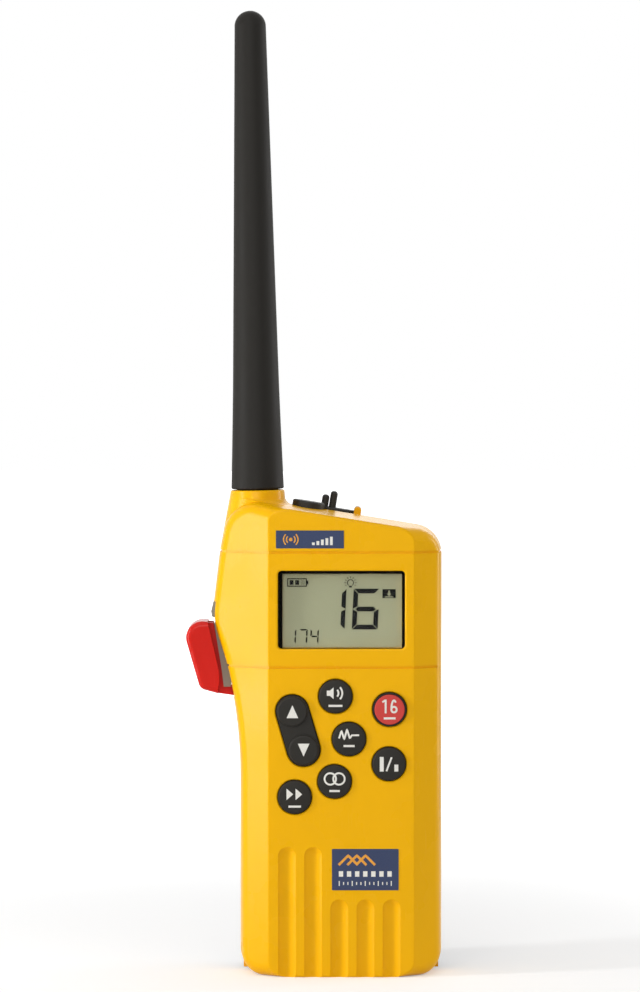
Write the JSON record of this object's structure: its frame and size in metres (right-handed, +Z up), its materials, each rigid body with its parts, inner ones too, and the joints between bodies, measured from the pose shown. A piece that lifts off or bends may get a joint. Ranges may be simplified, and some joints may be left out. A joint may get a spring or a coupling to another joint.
{
  "type": "handheld marine radio",
  "caption": "Upright handheld marine radio with a tapered flexible antenna, display window, round keys, side talk lever, screw-on battery pack and belt clip.",
  "frame": {"origin": "centre of the flat base between the front face and the rear of the battery pack, at the base's own height", "axes": "+X to the right of the front face, +Y to the rear, +Z up"},
  "size_m": [0.0892, 0.0492, 0.3353],
  "materials": {
    "yellow_shell": "satin",
    "black_rubber": "matt",
    "black_key": "satin",
    "red_plastic": "satin",
    "red_key": "satin",
    "grey_rubber": "matt",
    "window": "gloss",
    "black_gasket": "matt",
    "lcd": "gloss",
    "white_plastic": "matt",
    "circuit_board": "satin",
    "steel": "satin",
    "brass": "satin",
    "black_plastic": "satin",
    "seal_rubber": "matt",
    "cone_paper": "matt",
    "cell_wrap": "gloss",
    "insulator": "satin",
    "mat_silicone": "matt"
  },
  "bodies": {
    "radio": {"front_housing": "yellow_shell", "rear_housing": "yellow_shell", "top_cover": "yellow_shell", "housing_seal": "seal_rubber", "top_seal": "seal_rubber", "display_window": "window", "window_gasket": "black_gasket", "lcd_panel": "lcd", "lcd_backlight": "white_plastic", "keypad_mat": "mat_silicone", "main_board": "circuit_board", "rf_shield": "steel", "speaker": "steel", "speaker_cone": "cone_paper", "microphone": "steel", "antenna_socket": "brass", "antenna_socket_insulator": "insulator", "battery_contacts": "brass", "battery_seal": "seal_rubber", "housing_screws": "steel", "top_cover_screws": "steel", "board_screws": "steel", "accessory_socket": "black_plastic", "ptt_boot": "grey_rubber", "ptt_pin": "steel", "ptt_switch": "black_plastic", "power_switch": "black_plastic", "top_board": "circuit_board", "socket_cover_pin": "steel", "battery_screw_insert": "brass"},
    "volume_key": {"key_volume": "black_key"},
    "squelch_key": {"key_squelch": "black_key"},
    "dual_watch_key": {"key_dual_watch": "black_key"},
    "scan_key": {"key_scan": "black_key"},
    "power_level_key": {"key_power_level": "black_key"},
    "channel_16_key": {"key_channel_16": "black_key", "key_channel_16_cap": "red_key"},
    "rocker": {"channel_rocker": "black_key"},
    "power_key": {"power_button": "black_rubber"},
    "flap": {"socket_cover": "black_rubber"},
    "talk_lever": {"ptt_lever": "red_plastic"},
    "talk_button": {"ptt_button": "grey_rubber"},
    "antenna_ring": {"antenna_o_ring": "seal_rubber"},
    "antenna": {"antenna_whip": "black_rubber", "antenna_ferrule": "brass", "antenna_element": "steel"},
    "battery": {"battery_case": "black_plastic", "battery_cover": "black_plastic", "battery_cells": "cell_wrap", "battery_terminals": "brass", "belt_clip_base": "black_plastic", "belt_clip_pin": "steel", "belt_clip_spring": "steel", "belt_clip_screws": "steel"},
    "battery_washer": {"battery_screw_washer": "steel"},
    "battery_knob": {"battery_screw": "steel"},
    "clip": {"belt_clip_lever": "black_plastic"}
  },
  "joints": [
    {"name": "volume_press", "type": "slide", "parent": "radio", "child": "volume_key", "axis": [0, 1, 0], "range_m": [0, 0.0008], "stiffness_N_per_m": 600, "springref_m": -0.0008},
    {"name": "squelch_press", "type": "slide", "parent": "radio", "child": "squelch_key", "axis": [0, 1, 0], "range_m": [0, 0.0008], "stiffness_N_per_m": 600, "springref_m": -0.0008},
    {"name": "dual_watch_press", "type": "slide", "parent": "radio", "child": "dual_watch_key", "axis": [0, 1, 0], "range_m": [0, 0.0008], "stiffness_N_per_m": 600, "springref_m": -0.0008},
    {"name": "scan_press", "type": "slide", "parent": "radio", "child": "scan_key", "axis": [0, 1, 0], "range_m": [0, 0.0008], "stiffness_N_per_m": 600, "springref_m": -0.0008},
    {"name": "power_level_press", "type": "slide", "parent": "radio", "child": "power_level_key", "axis": [0, 1, 0], "range_m": [0, 0.0008], "stiffness_N_per_m": 600, "springref_m": -0.0008},
    {"name": "channel_16_press", "type": "slide", "parent": "radio", "child": "channel_16_key", "axis": [0, 1, 0], "range_m": [0, 0.0008], "stiffness_N_per_m": 600, "springref_m": -0.0008},
    {"name": "rocker_tilt", "type": "hinge", "parent": "radio", "child": "rocker", "pos_m": [-0.01495, -0.016, 0.08575], "axis": [0.9596, 0, 0.2814], "range_deg": [-3.5, 3.5], "stiffness_Nm_per_rad": 0.5},
    {"name": "power_press", "type": "slide", "parent": "radio", "child": "power_key", "axis": [-0.1582, 0, -0.9874], "range_m": [0, 0.001], "stiffness_N_per_m": 600, "springref_m": -0.0008},
    {"name": "flap_turn", "type": "hinge", "parent": "radio", "child": "flap", "pos_m": [0.0059, 0.009, 0.16102], "axis": [0, 1, 0], "range_deg": [0, 110]},
    {"name": "talk_lever_turn", "type": "hinge", "parent": "radio", "child": "talk_lever", "pos_m": [-0.0366, 0.001, 0.0983], "axis": [0, 1, 0], "range_deg": [0, 4], "stiffness_Nm_per_rad": 0.6, "springref_deg": -4.01},
    {"name": "talk_button_press", "type": "slide", "parent": "radio", "child": "talk_button", "axis": [0.9743, 0, 0.2253], "range_m": [0, 0.00125]},
    {"name": "antenna_lift", "type": "slide", "parent": "radio", "child": "antenna_ring", "axis": [-0.0157, 0, 0.9999], "range_m": [0, 0.006]},
    {"name": "antenna_turn", "type": "hinge", "parent": "antenna_ring", "child": "antenna", "pos_m": [-0.02912, 0.001, 0.1684], "axis": [-0.0157, 0, 0.9999], "range_deg": [0, 3066]},
    {"name": "battery_slide", "type": "slide", "parent": "radio", "child": "battery", "axis": [0, 1, 0], "range_m": [0, 0.025]},
    {"name": "battery_screw_lift", "type": "slide", "parent": "battery", "child": "battery_washer", "axis": [0, 1, 0], "range_m": [0, 0.005]},
    {"name": "battery_screw_turn", "type": "hinge", "parent": "battery_washer", "child": "battery_knob", "pos_m": [0, 0.0178, 0.0845], "axis": [0, 1, 0], "range_deg": [0, 1804]},
    {"name": "clip_turn", "type": "hinge", "parent": "battery", "child": "clip", "pos_m": [0, 0.026, 0.067], "axis": [1, 0, 0], "range_deg": [0, 12], "stiffness_Nm_per_rad": 1, "springref_deg": -17.19}
  ],
  "couplings": [
    {"joint": "talk_button_press", "follows": "talk_lever_turn", "m_per_rad": 0.016149},
    {"joint": "antenna_turn", "follows": "antenna_lift", "rad_per_m": 8904.7},
    {"joint": "battery_screw_turn", "follows": "battery_screw_lift", "rad_per_m": 6283.2}
  ]
}
